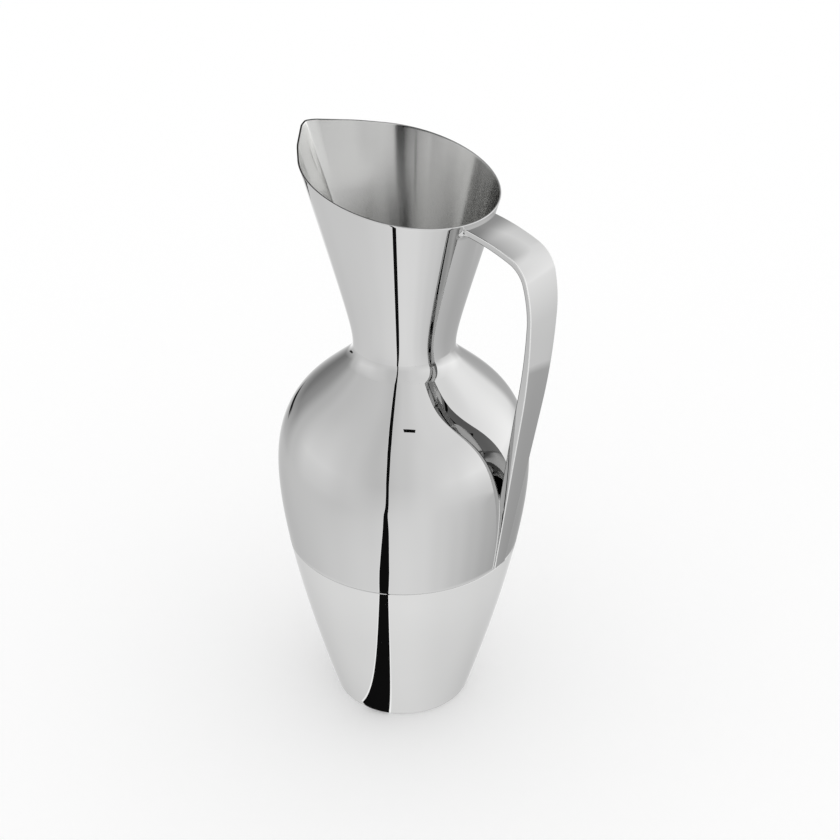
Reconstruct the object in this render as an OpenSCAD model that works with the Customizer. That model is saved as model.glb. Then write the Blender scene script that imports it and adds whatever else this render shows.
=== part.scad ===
/* [Body] */
// Outside diameter of the body at its widest circle
body_d = 125; // [112:0.5:140]
// Height of the widest circle above the table
belly_h = 136.5; // [126:0.5:146]
// Outside diameter of the base, measured to the sharp corner
base_d = 70.7; // [62:0.1:80]
// Radius that rolls the base into the wall
base_corner_r = 2.5; // [1.6:0.1:4]
// Width of the flat ring that the pitcher stands on
foot_ring_w = 6; // [4:0.5:9]
// Depth of the shallow recess inside that ring
foot_recess_h = 1.5; // [0.5:0.1:3]
// Height of the seam between the lower cup and the upper body
seam_h = 97; // [84:0.5:110]
// Width of the fine groove that shows at the seam
seam_groove_w = 0.5; // [0.2:0.1:1]
// Depth of that groove
seam_groove_depth = 0.35; // [0.1:0.05:0.5]
// Thickness of the body sheet
wall_t = 1; // [0.8:0.1:1.4]

/* [Seam sleeve] */
// Height of the sleeve that backs the seam on the inside
sleeve_h = 14; // [8:0.5:20]
// Thickness of the sleeve
sleeve_t = 0.8; // [0.5:0.1:1.2]

/* [Neck] */
// Outside diameter of the neck at its narrowest circle
neck_d = 49.5; // [44:0.1:54]
// Height of the narrowest circle
neck_h = 203.8; // [198:0.1:210]
// Angle of the shoulder where it runs into the neck, from upright
shoulder_angle = 48.5; // [42:0.5:54]
// Radius of the concave fillet between shoulder and neck
neck_fillet_r = 10.4; // [7:0.1:13]
// Angle of the flare's side, from upright
flare_angle = 15.6; // [12:0.1:18]
// Height over which the neck eases into the straight flare
neck_ease_h = 9.6; // [5:0.1:14]
// Thickness of the neck sheet
neck_t = 0.8; // [0.6:0.1:1.2]
// Length of neck tube that reaches down past the shoulder sheet
neck_tuck_h = 1.5; // [0.5:0.1:4]

/* [Mouth and spout] */
// Height of the pitcher at the tip of the spout
total_h = 301; // [294:0.5:308]
// Slope of the mouth, falling from the spout to the handle
mouth_angle = 12.35; // [8:0.05:16]
// Distance from the axis to the tip of the spout
spout_reach = 58.4; // [56:0.1:62]
// Height at which the pinched fold of the spout begins
spout_start_h = 230.8; // [222:0.1:240]

/* [Handle] */
// Distance that the handle stands out past the belly
handle_out = 15; // [11:0.5:20]
// Fall of the handle's top run, below level
handle_fall_angle = 18.5; // [12:0.5:24]
// Radius of the bend at the top, on the outer face
handle_bend_r = 18; // [12:0.5:22]
// Radius that eases the bend into the grip
handle_ease_r = 70; // [45:1:90]
// Height over which the grip starts to turn towards the body
handle_turn_h = 24.2; // [16:0.1:34]
// Width of the handle at the mouth
handle_top_w = 26.4; // [22:0.1:30]
// Width of the handle where the bend ends
handle_bend_w = 22.6; // [19:0.1:26]
// Width of the handle at its lower tip
handle_tip_w = 8.8; // [6:0.1:12]
// Thickness of the handle at the mouth
handle_top_t = 3; // [2.2:0.1:4]
// Thickness of the handle at the bend
handle_bend_t = 2.3; // [1.8:0.1:3.5]
// Thickness of the handle along its lower run
handle_low_t = 4.3; // [3:0.1:5]
// Step from the mouth's edge down to the top face of the handle
handle_step_h = 0.5; // [0.2:0.1:1.5]
// Bare strip between the handle's lower tip and the seam
handle_tip_gap = 2; // [1:0.1:6]
// Height that the lower tip stands proud of the wall
handle_tip_rise = 1.15; // [0.8:0.05:2]

/* [Weld beads] */
// Leg of the bead under and beside the handle's top end
top_bead_leg = 3.6; // [2:0.1:5]
// Length of handle that the top bead runs out along
top_bead_run = 6; // [3:0.1:9]
// Width of the bead along both sides of the handle's tail
tail_bead_w = 0.9; // [0.5:0.1:1.5]
// Height of that bead on the body
tail_bead_h = 0.7; // [0.4:0.1:1.2]

/* [Hidden] */
$fn = 96;

// steps along each free curve and along each handle arc
CURVE_STEPS = 26;
ARC_STEPS = 10;
// rows of the funnel's sheet, columns in each half of its spout, and columns in the rest
FUNNEL_ROWS = 14;
SPOUT_COLS = 12;
RING_COLS = 56;

// how far cutting shapes run past what they cut
overrun = 5;
// how far the spout's own sector of the neck runs round past its fullest width
spout_margin_angle = 5;

// shares that shape the free curves of the wall
low_start_share = 0.03;
low_end_share = 0.336;
high_start_share = 0.59;
high_end_share = 0.44;
// how far down the strap's edge the top bead begins
top_bead_share = 0.35;

body_r = body_d / 2;
base_r = base_d / 2;
neck_r = neck_d / 2;

// the wall leaves the base towards the handle point of its own curve
low_pull = [body_r, belly_h * (1 - low_end_share)];
base_lean = atan2(body_r - base_r, low_pull.y);
corner_leg = base_corner_r * tan((90 - base_lean) / 2);
corner_end = [base_r + corner_leg * sin(base_lean), corner_leg * cos(base_lean)];
foot_r = base_r - corner_leg;
recess_r = foot_r - foot_ring_w;

// the shoulder ends where the neck fillet begins
fillet_start = [neck_r + neck_fillet_r * (1 - cos(shoulder_angle)),
                neck_h - neck_fillet_r * sin(shoulder_angle)];
shoulder_top_h = fillet_start.y + (fillet_start.x - neck_r) / tan(shoulder_angle);
shoulder_rise = fillet_start.y - belly_h;
tube_base_h = shoulder_top_h - wall_t / sin(shoulder_angle) - neck_tuck_h;

flare_slope = tan(flare_angle);
neck_side_t = neck_t / cos(flare_angle);
mouth_slope = tan(mouth_angle);
mouth_axis_h = total_h - spout_reach * mouth_slope;

// outside radius of the neck and its flare at height z
function flare(z) =
    let (rise = max(z - neck_h, 0))
    neck_r + flare_slope * (sqrt(pow(rise, 2) + pow(neck_ease_h, 2)) - neck_ease_h);

// a cubic curve, and the direction along it
function curve(a, b, c, d, t) =
    pow(1 - t, 3) * a + 3 * pow(1 - t, 2) * t * b + 3 * (1 - t) * t * t * c + pow(t, 3) * d;
function along(a, b, c, d, t) =
    pow(1 - t, 2) * (b - a) + 2 * (1 - t) * t * (c - b) + t * t * (d - c);
// a point of the curve moved inwards, square to it
function inward(p, v, dist) = p + dist * [-v.y, v.x] / norm(v);

low_a = corner_end;
low_b = corner_end + low_start_share * (low_pull - corner_end);
low_d = [body_r, belly_h];
high_b = [body_r, belly_h + high_start_share * shoulder_rise];
high_c = fillet_start + high_end_share * shoulder_rise * [sin(shoulder_angle), -cos(shoulder_angle)];

// points along one curve from step first, moved inwards by dist
function curve_line(a, b, c, d, first, dist) = [for (i = [first:CURVE_STEPS])
    let (t = i / CURVE_STEPS)
    inward(curve(a, b, c, d, t), along(a, b, c, d, t), dist)];

// the wall from the base corner over the belly to the neck, moved inwards by dist
function wall_line(dist) = concat(
    curve_line(low_a, low_b, low_pull, low_d, 0, dist),
    curve_line(low_d, high_b, high_c, fillet_start, 1, dist));

// the rolled corner, from the foot ring to the wall, moved inwards by dist
function corner_line(dist) = [for (i = [0:ARC_STEPS - 1])
    let (a = i / ARC_STEPS * (90 - base_lean))
    [foot_r + (base_corner_r - dist) * sin(a), base_corner_r - (base_corner_r - dist) * cos(a)]];

// outside radius of the wall at height z
function wall_r(z) = lookup(z, [for (p = wall_line(0)) [p.y, p.x]]);

// the cone that carries the shoulder on to the axis, moved inwards by dist
function peak_h(dist) = fillet_start.y + fillet_start.x / tan(shoulder_angle) - dist / sin(shoulder_angle);

// the body as a solid, its skin moved inwards by dist, with a flat base
module body_solid(dist) {
    rotate_extrude()
        polygon(concat([[0, dist]], corner_line(dist), wall_line(dist), [[0, peak_h(dist)]]));
}

// the band of height between two levels
module band(low, high) {
    translate([0, 0, low])
        cylinder(r = body_r + handle_reach, h = high - low);
}

// everything above the sloping plane of the mouth
module above_mouth() {
    translate([0, 0, mouth_axis_h])
        rotate([0, -mouth_angle, 0])
            translate([-total_h / 2, -total_h / 2, 0])
                cube(total_h);
}

// Spout: at each height the wall runs straight from the round flare to the fold
spout_top_h = total_h + overrun;
fold_slope = (spout_reach - flare(spout_start_h)) / (total_h - spout_start_h);
function fold_reach(z) = max(flare(z), flare(spout_start_h) + fold_slope * (z - spout_start_h));
function fold_angle(z) = acos(min(1, flare(z) / fold_reach(z)));
spout_half = fold_angle(spout_top_h) + spout_margin_angle;
function funnel_r(a, z, dist) =
    (flare(z) - dist) / (abs(a) < fold_angle(z) ? cos(fold_angle(z) - abs(a)) : 1);
// height of the mouth's plane on the wall at angle a, found by closing in on it
function mouth_h(a, dist, z, n) =
    n == 0 ? z : mouth_h(a, dist, mouth_axis_h + mouth_slope * funnel_r(a, z, dist) * cos(a), n - 1);

// levels lie closer together where the neck eases into the flare
level_share = 1.5;
function level_h(row, top) = row == 0 ? tube_base_h :
    neck_h + (top - neck_h) * pow((row - 1) / (FUNNEL_ROWS - 1), level_share);

// angles round the funnel: close together in the spout, wider apart in the rest
funnel_angles = concat(
    [for (i = [0:2 * SPOUT_COLS - 1]) spout_half * (i / SPOUT_COLS - 1)],
    [for (i = [0:RING_COLS - 1]) spout_half + (360 - 2 * spout_half) * i / RING_COLS]);

// the whole funnel as one sheet, from the tube's lower edge to the mouth's plane
module funnel_sheet() {
    cols = len(funnel_angles);
    points = [for (dist = [0, neck_side_t])
        for (row = [0:FUNNEL_ROWS])
            for (a = funnel_angles)
                let (z = level_h(row, mouth_h(a, dist, total_h, ARC_STEPS)), r = funnel_r(a, z, dist))
                [r * cos(a), r * sin(a), z]];
    function id(skin, row, col) = (skin * (FUNNEL_ROWS + 1) + row) * cols + col % cols;
    outer = [for (row = [0:FUNNEL_ROWS - 1])
        for (col = [0:cols - 1])
            for (half = [0, 1])
                half == 0 ? [id(0, row, col), id(0, row + 1, col), id(0, row, col + 1)]
                          : [id(0, row, col + 1), id(0, row + 1, col), id(0, row + 1, col + 1)]];
    inner = [for (row = [0:FUNNEL_ROWS - 1])
        for (col = [0:cols - 1])
            for (half = [0, 1])
                half == 0 ? [id(1, row, col), id(1, row, col + 1), id(1, row + 1, col)]
                          : [id(1, row, col + 1), id(1, row + 1, col + 1), id(1, row + 1, col)]];
    base = [for (col = [0:cols - 1])
        [id(0, 0, col), id(0, 0, col + 1), id(1, 0, col + 1), id(1, 0, col)]];
    edge = [for (col = [0:cols - 1])
        [id(0, FUNNEL_ROWS, col + 1), id(0, FUNNEL_ROWS, col),
         id(1, FUNNEL_ROWS, col), id(1, FUNNEL_ROWS, col + 1)]];
    polyhedron(points = points, faces = concat(outer, inner, base, edge));
}

// the neck and flare as one solid of revolution
module neck_mass() {
    rotate_extrude()
        polygon(concat([[0, tube_base_h]],
            [for (row = [0:FUNNEL_ROWS])
                let (z = level_h(row, spout_top_h))
                [flare(z), z]],
            [[0, spout_top_h]]));
}

// Handle: its outer face is one chain of arcs, in distance from the axis and height
handle_reach = body_r + handle_out;
steep_angle = 74;
// the mouth's edge on the handle side is found by closing in on it
function mouth_edge_r(r, n) = n == 0 ? r : mouth_edge_r(flare(mouth_axis_h - mouth_slope * r), n - 1);
mouth_back_r = mouth_edge_r(neck_r, ARC_STEPS);
handle_start = [mouth_back_r, mouth_axis_h - mouth_slope * mouth_back_r - handle_step_h];
bend_out = handle_bend_r * (sin(steep_angle) - sin(handle_fall_angle))
    + handle_ease_r * (1 - sin(steep_angle));
top_run = (handle_reach - bend_out - handle_start.x) / cos(handle_fall_angle);
function turn(p, r, a, b) = p + r * [sin(b) - sin(a), cos(b) - cos(a)];
bend_start = handle_start + top_run * [cos(handle_fall_angle), -sin(handle_fall_angle)];
bend_end = turn(bend_start, handle_bend_r, handle_fall_angle, steep_angle);
grip_start = turn(bend_end, handle_ease_r, steep_angle, 90);
// a straight lower run ends on the wall, and one long arc leads into it
tip_h = seam_h + handle_tip_gap;
tail_end = [wall_r(tip_h) + handle_tip_rise, tip_h];
lean_angle = atan2(handle_reach - tail_end.x, grip_start.y - handle_turn_h - tip_h);
grip_r = handle_turn_h / tan(lean_angle / 2);
root_start = handle_start - neck_r * [cos(handle_fall_angle), -sin(handle_fall_angle)];

// a point of the outer face and one square behind it, where the face runs at angle a
function outer_arc(p, r, a, b) = [for (i = [0:ARC_STEPS])
    let (w = a + (b - a) * i / ARC_STEPS)
    [turn(p, r, a, w), w]];
face = concat(
    [[root_start, handle_fall_angle]],
    outer_arc(bend_start, handle_bend_r, handle_fall_angle, steep_angle),
    outer_arc(bend_end, handle_ease_r, steep_angle, 90),
    outer_arc(grip_start, grip_r, 90, 90 + lean_angle),
    [[tail_end, 90 + lean_angle]]);
// thickness falls towards the bend and grows again down the grip
function strap_t(i) =
    i <= 1 ? handle_top_t :
    i <= ARC_STEPS + 1 ? handle_top_t + (handle_bend_t - handle_top_t) * (i - 1) / ARC_STEPS :
    i <= 2 * ARC_STEPS + 2 ? handle_bend_t :
    i >= 3 * ARC_STEPS + 3 ? handle_low_t :
    handle_bend_t + (handle_low_t - handle_bend_t) * (i - 2 * ARC_STEPS - 2) / (ARC_STEPS + 1);
function back_of(i) = face[i][0] - strap_t(i) * [sin(face[i][1]), cos(face[i][1])];
// the strap's outline from the side, its lower end longer by more and buried in the body
function strap_side(more) =
    let (end = tail_end - more * [tan(lean_angle), 1])
    concat(
        [for (i = [0:len(face) - 2]) face[i][0]],
        [end, end - [handle_low_t * 2, 0]],
        [for (i = [len(face) - 1:-1:0]) back_of(i)]);

// the side outline stood up along the handle, w wide
module side_slab(outline, w) {
    rotate([90, 0, 180])
        translate([0, 0, -w / 2])
            linear_extrude(w)
                polygon(outline);
}

// the outline seen from behind: a straight taper down to the tip, grown by more
module taper_slab(more, low) {
    half_tip = handle_tip_w / 2 + more;
    half_bend = handle_bend_w / 2 + more;
    half_top = handle_top_w + more;
    rotate([90, 0, -90])
        linear_extrude(handle_reach * 2)
            polygon([[-half_tip, low], [half_tip, low], [half_bend, bend_end.y], [half_top, total_h],
                     [-half_top, total_h], [-half_bend, bend_end.y]]);
}

// the outline seen from above: wider towards the mouth
module plan_slab() {
    half_top = handle_top_w / 2;
    half_bend = handle_bend_w / 2;
    rotate([0, 0, 180])
        linear_extrude(total_h)
            polygon([[0, -half_top], [handle_start.x, -half_top], [bend_end.x, -half_bend],
                     [2 * handle_reach, -half_bend], [2 * handle_reach, half_bend],
                     [bend_end.x, half_bend], [handle_start.x, half_top], [0, half_top]]);
}

module strap_solid() {
    intersection() {
        side_slab(strap_side(0), handle_top_w * 2);
        taper_slab(0, tip_h);
        plan_slab();
    }
}

// Lower cup: pressed from sheet, from the foot ring up to the seam
module lower_cup() {
    color([0.86, 0.86, 0.85])
        difference() {
            intersection() {
                body_solid(0);
                band(0, seam_h);
            }
            cup_hollow();
            foot_recess(0);
            seam_groove();
        }
}

module cup_hollow() {
    difference() {
        intersection() {
            body_solid(wall_t);
            band(wall_t, total_h);
        }
        foot_recess(wall_t);
    }
}

module foot_recess(grow) {
    // the recess has a side at half a right angle
    side_r = recess_r + grow * tan(22.5);
    translate([0, 0, -overrun])
        cylinder(r1 = side_r + overrun, r2 = side_r - foot_recess_h - grow,
                 h = overrun + foot_recess_h + grow);
}

module seam_groove() {
    intersection() {
        difference() {
            body_solid(-overrun);
            body_solid(seam_groove_depth);
        }
        band(seam_h - seam_groove_w / 2, seam_h + seam_groove_w / 2);
    }
}

// Upper body: spun sheet, from the seam over the shoulder to the neck tube
module upper_body() {
    color([0.8, 0.8, 0.8])
        difference() {
            intersection() {
                body_solid(0);
                band(seam_h, total_h);
            }
            body_solid(wall_t);
            seam_groove();
            translate([0, 0, belly_h])
                cylinder(r = neck_r, h = total_h);
        }
}

// Seam sleeve: a ring inside that both halves are fixed to
module seam_sleeve() {
    color([0.7, 0.7, 0.7])
        intersection() {
            difference() {
                body_solid(wall_t);
                body_solid(wall_t + sleeve_t);
            }
            band(seam_h - sleeve_h / 2, seam_h + sleeve_h / 2);
        }
}

// Neck funnel: a short tube that flares to the mouth, with the spout pinched into it
module neck_funnel() {
    color([0.78, 0.78, 0.77])
        funnel_sheet();
}

// Neck bead: the polished weld that fills the corner between shoulder and neck
module neck_bead() {
    center = [neck_r + neck_fillet_r, neck_h];
    color([0.74, 0.74, 0.74])
        rotate_extrude()
            polygon(concat(
                [for (i = [0:ARC_STEPS])
                    let (a = shoulder_angle * (1 - i / ARC_STEPS))
                    center - neck_fillet_r * [cos(a), sin(a)]],
                [[neck_r, shoulder_top_h]]));
}

// Handle: one forged strap from the mouth down to just above the seam
module handle_strap() {
    color([0.84, 0.84, 0.84])
        difference() {
            strap_solid();
            neck_mass();
            body_solid(0);
            above_mouth();
        }
}

// Top bead: weld under and beside the strap where it meets the flare
module handle_top_bead() {
    bead_t = handle_top_t + top_bead_leg;
    bead_top = handle_top_t * top_bead_share;
    bead_half = handle_top_w / 2 + top_bead_leg;
    end_x = handle_start.x + top_bead_run * cos(handle_fall_angle);
    end_share = (end_x - handle_start.x) / (bend_end.x - handle_start.x);
    end_half = (handle_top_w + (handle_bend_w - handle_top_w) * end_share) / 2;
    color([0.72, 0.72, 0.72])
        difference() {
            intersection() {
                side_slab([for (p = [[-neck_r, -bead_top], [top_bead_run, -bead_top],
                                     [top_bead_run, -handle_top_t], [0, -bead_t], [-neck_r, -bead_t]])
                    handle_start + p.x * [cos(handle_fall_angle), -sin(handle_fall_angle)]
                                 + p.y * [sin(handle_fall_angle), cos(handle_fall_angle)]], total_h);
                rotate([0, 0, 180])
                    linear_extrude(total_h)
                        polygon([[0, -bead_half], [handle_start.x, -bead_half], [end_x, -end_half],
                                 [end_x, end_half], [handle_start.x, bead_half], [0, bead_half]]);
            }
            neck_mass();
            strap_solid();
        }
}

// Tail bead: the fine weld along both sides and round the tip of the strap's tail
module handle_tail_bead() {
    color([0.9, 0.9, 0.9])
        difference() {
            intersection() {
                difference() {
                    body_solid(-tail_bead_h);
                    body_solid(0);
                }
                taper_slab(tail_bead_w, tip_h - tail_bead_w);
                // it ends where the back of the strap leaves the wall
                translate([-tail_bead_h, 0, 0])
                    side_slab(strap_side(2 * tail_bead_w), handle_top_w * 2);
            }
            strap_solid();
        }
}

lower_cup();
upper_body();
seam_sleeve();
neck_funnel();
neck_bead();
handle_strap();
handle_top_bead();
handle_tail_bead();
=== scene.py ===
# %% [markdown]
# # A polished steel water pitcher
# The real pitcher is sheet steel: a pressed lower cup, a spun upper body, a flared neck with a
# pinched spout, and one flat strap bent into a handle. Steel like this has almost no colour of its
# own. What the eye reads is the shape of the reflections, so every piece here is a dense, smooth
# mesh that follows a formula, and much of the work is in what stands round the pitcher.
#
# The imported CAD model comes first. It fixes where each piece sits and how large it is.

# %% Load the frame
from math import atan2, cos, degrees, hypot, pi, radians, sin, sqrt, tan

import bpy
import bmesh
from mathutils import Matrix, Vector


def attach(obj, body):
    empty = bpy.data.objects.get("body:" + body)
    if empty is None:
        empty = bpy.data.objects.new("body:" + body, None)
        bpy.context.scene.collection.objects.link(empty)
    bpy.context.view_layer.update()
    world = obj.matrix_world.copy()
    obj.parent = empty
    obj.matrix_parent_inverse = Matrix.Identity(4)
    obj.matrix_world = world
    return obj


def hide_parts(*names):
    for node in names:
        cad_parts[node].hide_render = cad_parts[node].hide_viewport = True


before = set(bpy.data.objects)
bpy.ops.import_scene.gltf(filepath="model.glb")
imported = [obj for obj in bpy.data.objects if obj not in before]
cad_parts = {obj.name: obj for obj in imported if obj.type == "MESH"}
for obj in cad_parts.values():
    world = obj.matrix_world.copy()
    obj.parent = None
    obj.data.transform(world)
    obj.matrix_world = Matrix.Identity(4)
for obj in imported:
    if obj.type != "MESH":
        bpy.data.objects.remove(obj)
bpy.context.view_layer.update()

# %% [markdown]
# ## The camera
# The pitcher is photographed from a little above. The camera was fitted to its circles: the base,
# the seam, the belly, the neck and the mouth, because a circle of known height shows by its shape
# how steeply it is seen. It looks almost straight at the axis, from the side where the spout
# points away to the left and the handle stands to the right. The camera comes first, so that every
# piece can be judged from where the photograph was taken.

# %% Place the camera
MM = 0.001
CAMERA_DISTANCE = 753.7 * MM
CAMERA_RISE, CAMERA_YAW, CAMERA_ROLL = 0.54252, 0.010494, 0.003948  # in radians
TARGET = Vector((0, 0, 160 * MM))
FOCAL_PIXELS, PICTURE_PIXELS = 1530.8, 840
SENSOR_WIDTH = 36  # millimetres
# degrees from the spout's way round to the photograph's right
PHOTO_TURN = 217.5
# turns the photograph's own axes, right, away and up, into the pitcher's
TURN = Matrix.Rotation(radians(PHOTO_TURN), 3, "Z")


def make_camera():
    """Stands back from the target along its look, then turns a little sideways and tips over."""
    look = Vector((0, cos(CAMERA_RISE), -sin(CAMERA_RISE)))
    right = Vector((1, 0, 0))
    up = right.cross(look)
    place = TARGET - look * CAMERA_DISTANCE
    look, right = (cos(CAMERA_YAW) * look + sin(CAMERA_YAW) * right,
                   cos(CAMERA_YAW) * right - sin(CAMERA_YAW) * look)
    right, up = (cos(CAMERA_ROLL) * right + sin(CAMERA_ROLL) * up,
                 cos(CAMERA_ROLL) * up - sin(CAMERA_ROLL) * right)
    data = bpy.data.cameras.new("camera")
    data.sensor_width = SENSOR_WIDTH
    data.lens = FOCAL_PIXELS / PICTURE_PIXELS * SENSOR_WIDTH
    camera = bpy.data.objects.new("camera", data)
    turned = [TURN @ axis for axis in (right, up, -look)]
    camera.matrix_world = Matrix.Translation(TURN @ place) @ Matrix(turned).transposed().to_4x4()
    bpy.context.collection.objects.link(camera)
    bpy.context.scene.camera = camera
    return camera


camera = make_camera()
print("camera at", [round(v, 3) for v in camera.matrix_world.translation],
      "lens", round(camera.data.lens, 1))

# %% [markdown]
# ## Sums with wires
# Both the shapes and the finishes below are worked out inside node trees. A node tree full of Math
# nodes is hard to read, so this small class stands for a wire in a tree: adding or multiplying two
# wires puts the right Math node between them.

# %% Wires that can be added and multiplied
class Wire:
    """A socket that a number or a shader comes out of, and the tree that it belongs to."""
    def __init__(self, tree, socket):
        self.tree, self.socket = tree, socket

    def sum(self, operation, *others):
        """Works something out from this wire and the others with one Math node."""
        node = self.tree.nodes.new("ShaderNodeMath")
        node.operation = operation
        for slot, value in zip(node.inputs, (self, *others)):
            plug(self.tree, value, slot)
        return Wire(self.tree, node.outputs[0])

    def __add__(self, other): return self.sum("ADD", other)
    def __sub__(self, other): return self.sum("SUBTRACT", other)
    def __mul__(self, other): return self.sum("MULTIPLY", other)
    def __truediv__(self, other): return self.sum("DIVIDE", other)


def plug(tree, value, slot):
    """Puts a wire or a plain value into a node's socket."""
    if isinstance(value, Wire):
        tree.links.new(value.socket, slot)
    else:
        slot.default_value = value


# %% [markdown]
# A few sums come again and again: a level that rises between two places, a blend of two levels,
# the long side of a triangle. Each gets a name here, and so does adding a node with its inputs.

# %% Sums and nodes by name
def rise(value, low, high):
    """0 below low, 1 above high, even between."""
    return ((value - low) / (high - low)).sum("MAXIMUM", 0.0).sum("MINIMUM", 1.0)


def eased(share):
    """The same rise with a soft start and end."""
    return share * share * (share * -2 + 3)


def blend(a, b, share):
    """All a at share 0, all b at share 1."""
    return a * (share * -1 + 1) + b * share


def long_side(a, b):
    """The long side of a square-cornered triangle."""
    return (a * a + b * b).sum("SQRT")


def step_node(tree, kind, inputs=None, **settings):
    """Adds a node, gives it its settings and plugs in its inputs."""
    node = tree.nodes.new(kind)
    for name, value in settings.items():
        setattr(node, name, value)
    for name, value in (inputs or {}).items():
        plug(tree, value, node.inputs[name])
    return node


def wire_from(tree, kind, inputs=None, output=0, **settings):
    """Adds a node and gives the wire that leaves it."""
    return Wire(tree, step_node(tree, kind, inputs, **settings).outputs[output])


def axes(vector):
    """The x, y and z of a vector."""
    split = step_node(vector.tree, "ShaderNodeSeparateXYZ", {"Vector": vector})
    return [Wire(vector.tree, split.outputs[axis]) for axis in "XYZ"]


# %% [markdown]
# ## The wall of the body
# Seen from the side the body is one smooth line: a rolled corner at the base, a long curve that
# swells to the belly, and a second curve that closes in to the neck. Two cubic curves draw it. A
# curve object could hold them too, but a formula can also be asked where the wall is at a height,
# and the handle's tail and its weld need to know that.

# %% Sizes of the body, in millimetres and radians
BELLY_R, BELLY_H = 62.5, 136.5
BASE_R, CORNER_R = 35.35, 2.5
SEAM_H, LIP = 97.0, 0.35
WALL_T = 1.0
RECESS_H, FOOT_W = 1.5, 6.0
NECK_R, NECK_H, NECK_FILLET_R = 24.75, 203.8, 10.4
SHOULDER = radians(48.5)
# how far along the two curves their inner two points stand, as shares of each curve's height
LOW_START, LOW_END, HIGH_START, HIGH_END = 0.03, 0.336, 0.59, 0.44


def flat(x, z):
    """A point of the side view: distance from the axis, and height."""
    return Vector((x, z))


LOW_PULL = flat(BELLY_R, BELLY_H * (1 - LOW_END))
BASE_LEAN = atan2(BELLY_R - BASE_R, LOW_PULL.y)
CORNER_LEG = CORNER_R * tan((pi / 2 - BASE_LEAN) / 2)
CORNER_END = flat(BASE_R + CORNER_LEG * sin(BASE_LEAN), CORNER_LEG * cos(BASE_LEAN))
FOOT_R = BASE_R - CORNER_LEG
FILLET_START = flat(NECK_R + NECK_FILLET_R * (1 - cos(SHOULDER)),
                    NECK_H - NECK_FILLET_R * sin(SHOULDER))
CURVE_RISE = FILLET_START.y - BELLY_H
LOW = (CORNER_END, CORNER_END + LOW_START * (LOW_PULL - CORNER_END), LOW_PULL,
       flat(BELLY_R, BELLY_H))
HIGH = (LOW[3], flat(BELLY_R, BELLY_H + HIGH_START * CURVE_RISE),
        FILLET_START + HIGH_END * CURVE_RISE * flat(sin(SHOULDER), -cos(SHOULDER)), FILLET_START)
SHOULDER_TOP = FILLET_START.y + (FILLET_START.x - NECK_R) / tan(SHOULDER)


print("corner ends at", CORNER_END[:], "fillet starts at", FILLET_START[:])

# %% [markdown]
# Any point of the wall, or of its inner face, can be asked for by one number, its share of the way
# up. A height has no simple formula for its share, so the share is found by halving.

# %% Points of the wall
def on_wall(share, inset=0.0):
    """A point of the wall: share 0 at the base, 1 at the belly, 2 at the neck."""
    a, b, c, d = LOW if share <= 1 else HIGH
    t = share if share <= 1 else share - 1
    point = (1 - t)**3 * a + 3 * (1 - t)**2 * t * b + 3 * (1 - t) * t * t * c + t**3 * d
    run = (1 - t)**2 * (b - a) + 2 * (1 - t) * t * (c - b) + t * t * (d - c)
    return point + inset * flat(-run.y, run.x).normalized()


def share_at(height, inset=0.0):
    """The share at which the wall reaches a height, found by halving."""
    low, high = 0.0, 2.0
    for _ in range(40):
        middle = (low + high) / 2
        low, high = (middle, high) if on_wall(middle, inset).y < height else (low, middle)
    return low


def wall_r(height):
    """The wall's outer radius at a height."""
    return on_wall(share_at(height)).x


def wall_run(low, high, steps, inset=0.0):
    """Points of the wall between two heights."""
    first, last = share_at(low, inset), share_at(high, inset)
    return [on_wall(first + (last - first) * i / steps, inset) for i in range(steps + 1)]


def arc(centre, radius, start, end, steps):
    """Points of an arc in the side view; angles are turned from level, in radians."""
    return [centre + radius * flat(cos(start + (end - start) * i / steps),
                                   sin(start + (end - start) * i / steps))
            for i in range(steps + 1)]


print("radius at the seam, mm:", round(wall_r(SEAM_H), 2))

# %% [markdown]
# ## A lathe made of nodes
# A spun or pressed shell is the same outline at every turn. Screw or Spin would do it too, but a
# small Geometry Nodes tree says the rule plainly: a grid has one column for each step round and
# one row for each point of the outline, and each grid point looks up its row's place and turns it.

# %% The lathe tree
def new_tree(name, inputs):
    """An empty Geometry Nodes tree with named inputs."""
    tree = bpy.data.node_groups.new(name, "GeometryNodeTree")
    face = tree.interface
    face.new_socket("Geometry", in_out="INPUT", socket_type="NodeSocketGeometry")
    for title, kind in inputs:
        face.new_socket(title, in_out="INPUT", socket_type="NodeSocket" + kind)
    face.new_socket("Geometry", in_out="OUTPUT", socket_type="NodeSocketGeometry")
    given = step_node(tree, "NodeGroupInput")
    return tree, {socket.name: Wire(tree, socket) for socket in given.outputs if socket.name}


def grid_places(tree, columns, rows):
    """A grid, and its column and row as fields."""
    grid = step_node(tree, "GeometryNodeMeshGrid", {"Vertices X": columns, "Vertices Y": rows})
    index = wire_from(tree, "GeometryNodeInputIndex")
    column = (index / rows).sum("FLOOR")
    return grid, column, index - column * rows


def finish_tree(tree, grid, reach, angle, height, material):
    """Moves each grid point out by its reach, round by its angle and up to its height, closes the
    seam, and ends in Realize Instances and Set Material."""
    place = wire_from(tree, "ShaderNodeCombineXYZ", {
        "X": reach * angle.sum("COSINE"), "Y": reach * angle.sum("SINE"), "Z": height})
    mesh = Wire(tree, grid.outputs["Mesh"])
    for kind, inputs in (("GeometryNodeSetPosition", {"Position": place}),
                         ("GeometryNodeMergeByDistance", {"Distance": 0.002 * MM}),
                         ("GeometryNodeSetShadeSmooth", {}),
                         ("GeometryNodeRealizeInstances", {}),
                         ("GeometryNodeSetMaterial", {"Material": material})):
        mesh = wire_from(tree, kind, {"Geometry": mesh, **inputs})
    plug(tree, mesh, step_node(tree, "NodeGroupOutput").inputs[0])


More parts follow.
